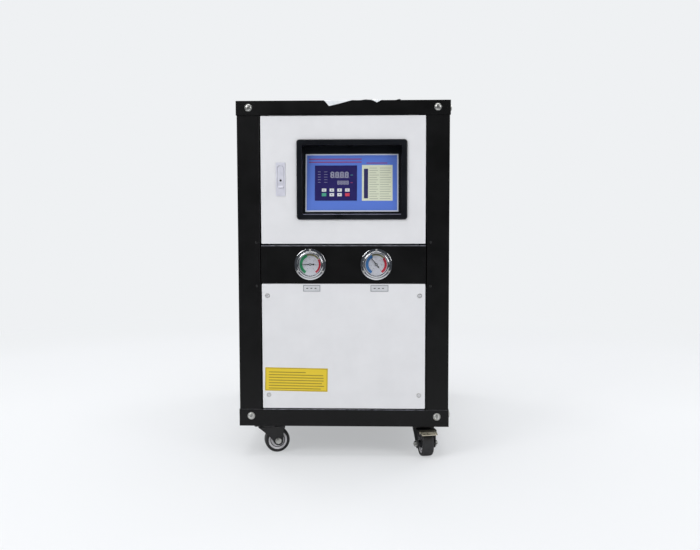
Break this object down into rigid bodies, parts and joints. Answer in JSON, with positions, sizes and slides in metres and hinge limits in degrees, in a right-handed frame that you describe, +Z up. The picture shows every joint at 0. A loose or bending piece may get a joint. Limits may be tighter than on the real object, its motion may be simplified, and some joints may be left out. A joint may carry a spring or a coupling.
{
  "type": "mobile air-cooled water chiller",
  "caption": "Mobile water chiller: boxed steel cabinet with hinged control door, gauge band, louvred sides, top fan, rear water ports and swivel casters.",
  "frame": {"origin": "on the floor under the middle of the cabinet", "axes": "+X to the right of someone facing the door, +Y from the door to the rear panel, +Z up"},
  "size_m": [0.574, 0.9618, 0.9647],
  "materials": {
    "black_powder_coat": "fine textured powder coat",
    "white_powder_coat": "fine textured powder coat",
    "galvanised_sheet": "galvanised",
    "control_gear_plastic": "moulded",
    "coil_aluminium": "finned",
    "fan_plastic": "moulded",
    "motor_enamel": "satin enamel",
    "brass": "turned",
    "gland_nylon": "moulded",
    "bezel_plastic": "moulded, satin",
    "blue_facia": "printed film",
    "display_acrylic": "printed film",
    "key_silicone": "moulded",
    "lock_zinc": "satin chrome plated zinc",
    "gauge_chrome": "polished",
    "dial_white": "printed dial",
    "needle_black": "painted",
    "gauge_glass": "clear",
    "caster_steel_black": "pressed steel, black",
    "core_nylon": "moulded",
    "tyre_rubber": "moulded tread",
    "pedal_steel": "zinc plated, yellow passivated"
  },
  "bodies": {
    "cabinet": {"base_frame": "black_powder_coat", "post_front_left": "black_powder_coat", "post_front_right": "black_powder_coat", "post_rear_left": "black_powder_coat", "post_rear_right": "black_powder_coat", "top_cover": "black_powder_coat", "mid_band": "black_powder_coat", "lower_front_panel": "white_powder_coat", "side_panel_left": "white_powder_coat", "side_panel_right": "white_powder_coat", "rear_panel": "white_powder_coat", "water_inlet": "brass", "water_outlet": "brass", "drain_port": "brass", "cable_gland": "gland_nylon", "control_box": "galvanised_sheet", "control_gear": "control_gear_plastic", "inner_deck": "galvanised_sheet", "condenser_coils": "coil_aluminium", "fan_ring": "galvanised_sheet", "fan_guard": "black_powder_coat", "fan_rotor": "fan_plastic", "fan_motor": "motor_enamel", "door_hinges": "black_powder_coat", "gauge_case_left": "gauge_chrome", "gauge_case_right": "gauge_chrome", "gauge_dials": "dial_white", "gauge_needles": "needle_black", "gauge_glasses": "gauge_glass", "caster_plates": "caster_steel_black"},
    "door": {"door_panel": "white_powder_coat", "door_bezel": "bezel_plastic", "control_panel": "blue_facia", "display_module": "display_acrylic", "keypad": "key_silicone", "lock_body": "lock_zinc"},
    "lock_paddle": {"lock_paddle": "lock_zinc"},
    "lock_button": {"lock_button": "lock_zinc"},
    "caster_front_left": {"caster_fork_front_left": "caster_steel_black"},
    "wheel_front_left": {"wheel_core_front_left": "core_nylon", "wheel_tyre_front_left": "tyre_rubber"},
    "caster_front_right": {"caster_fork_front_right": "caster_steel_black"},
    "wheel_front_right": {"wheel_core_front_right": "core_nylon", "wheel_tyre_front_right": "tyre_rubber"},
    "pedal_front_right": {"brake_pedal_front_right": "pedal_steel"},
    "caster_rear_left": {"caster_fork_rear_left": "caster_steel_black"},
    "wheel_rear_left": {"wheel_core_rear_left": "core_nylon", "wheel_tyre_rear_left": "tyre_rubber"},
    "pedal_rear_left": {"brake_pedal_rear_left": "pedal_steel"},
    "caster_rear_right": {"caster_fork_rear_right": "caster_steel_black"},
    "wheel_rear_right": {"wheel_core_rear_right": "core_nylon", "wheel_tyre_rear_right": "tyre_rubber"}
  },
  "joints": [
    {"name": "door_hinge", "type": "hinge", "parent": "cabinet", "child": "door", "pos_m": [0.2093, -0.445, 0.7427], "axis": [0, 0, 1], "range_deg": [0, 110]},
    {"name": "paddle_hinge", "type": "hinge", "parent": "door", "child": "lock_paddle", "pos_m": [-0.1648, -0.4495, 0.7749], "axis": [-1, 0, 0], "range_deg": [0, 40]},
    {"name": "button_press", "type": "slide", "parent": "door", "child": "lock_button", "axis": [0, 1, 0], "range_m": [0, 0.003], "stiffness_N_per_m": 400, "springref_m": -0.002},
    {"name": "swivel_front_left", "type": "hinge", "parent": "cabinet", "child": "caster_front_left", "pos_m": [-0.2145, -0.404, 0.078], "axis": [0, 0, 1], "continuous": true},
    {"name": "roll_front_left", "type": "hinge", "parent": "caster_front_left", "child": "wheel_front_left", "pos_m": [-0.18649, -0.39649, 0.034], "axis": [-0.2588, 0.9659, 0], "continuous": true},
    {"name": "swivel_front_right", "type": "hinge", "parent": "cabinet", "child": "caster_front_right", "pos_m": [0.2145, -0.404, 0.078], "axis": [0, 0, 1], "continuous": true},
    {"name": "roll_front_right", "type": "hinge", "parent": "caster_front_right", "child": "wheel_front_right", "pos_m": [0.22053, -0.43237, 0.034], "axis": [0.9781, 0.2079, 0], "continuous": true},
    {"name": "brake_front_right", "type": "hinge", "parent": "caster_front_right", "child": "pedal_front_right", "pos_m": [0.22386, -0.44802, 0.0695], "axis": [0.9781, 0.2079, 0], "range_deg": [0, 20]},
    {"name": "swivel_rear_left", "type": "hinge", "parent": "cabinet", "child": "caster_rear_left", "pos_m": [-0.2145, 0.404, 0.078], "axis": [0, 0, 1], "continuous": true},
    {"name": "roll_rear_left", "type": "hinge", "parent": "caster_rear_left", "child": "wheel_rear_left", "pos_m": [-0.22053, 0.43237, 0.034], "axis": [-0.9781, -0.2079, 0], "continuous": true},
    {"name": "brake_rear_left", "type": "hinge", "parent": "caster_rear_left", "child": "pedal_rear_left", "pos_m": [-0.22386, 0.44802, 0.0695], "axis": [-0.9781, -0.2079, 0], "range_deg": [0, 20]},
    {"name": "swivel_rear_right", "type": "hinge", "parent": "cabinet", "child": "caster_rear_right", "pos_m": [0.2145, 0.404, 0.078], "axis": [0, 0, 1], "continuous": true},
    {"name": "roll_rear_right", "type": "hinge", "parent": "caster_rear_right", "child": "wheel_rear_right", "pos_m": [0.18649, 0.39649, 0.034], "axis": [0.2588, -0.9659, 0], "continuous": true}
  ]
}
